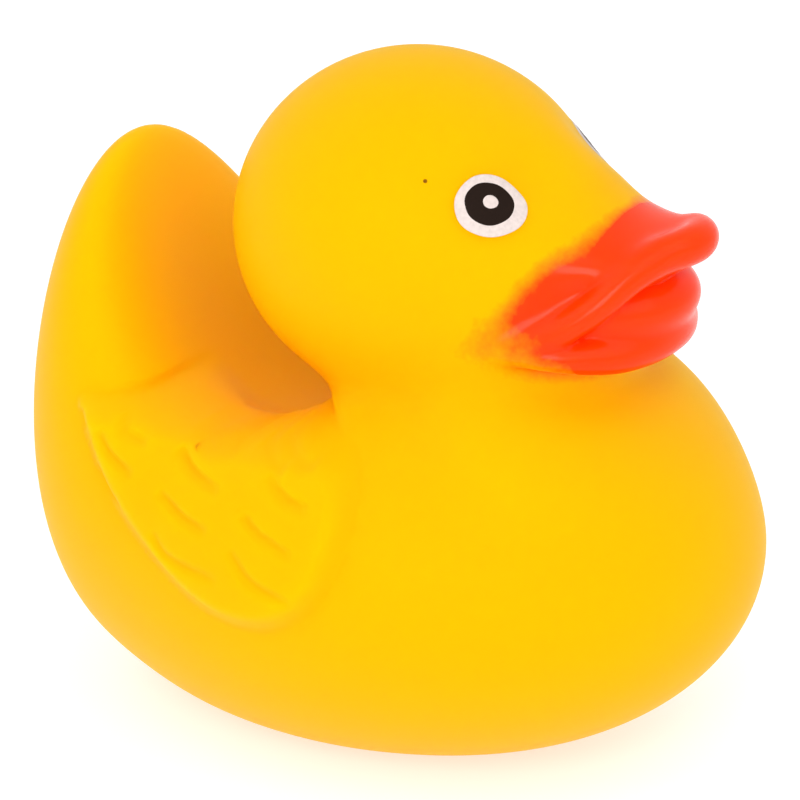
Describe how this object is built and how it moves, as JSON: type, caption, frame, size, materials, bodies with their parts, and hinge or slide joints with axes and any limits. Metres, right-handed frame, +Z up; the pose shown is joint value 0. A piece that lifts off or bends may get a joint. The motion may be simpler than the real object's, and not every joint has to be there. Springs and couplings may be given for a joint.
{
  "type": "rubber duck",
  "caption": "Hollow moulded vinyl bath duck with a round head, upturned tail, wings in relief, a parted painted beak and a squeaker in its flat base.",
  "frame": {"origin": "middle of the object's bounding box at the height of the flat base it stands on", "axes": "+Z up out of the head, -Y forwards past the beak, +X to the duck's left; the form is the same on both sides of X = 0"},
  "size_m": [0.0716, 0.0908, 0.0832],
  "materials": {
    "yellow_vinyl": "satin moulded yellow vinyl",
    "beak_paint": "sprayed glossy orange-red vinyl paint",
    "eye_white_ink": "pad-printed warm white ink",
    "eye_black_ink": "pad-printed brown-black ink",
    "squeaker_plastic": "natural white moulded polyethylene"
  },
  "bodies": {
    "root": {"duck_body": "yellow_vinyl", "squeaker_cup": "squeaker_plastic", "squeaker_reed": "squeaker_plastic"}
  },
  "joints": []
}
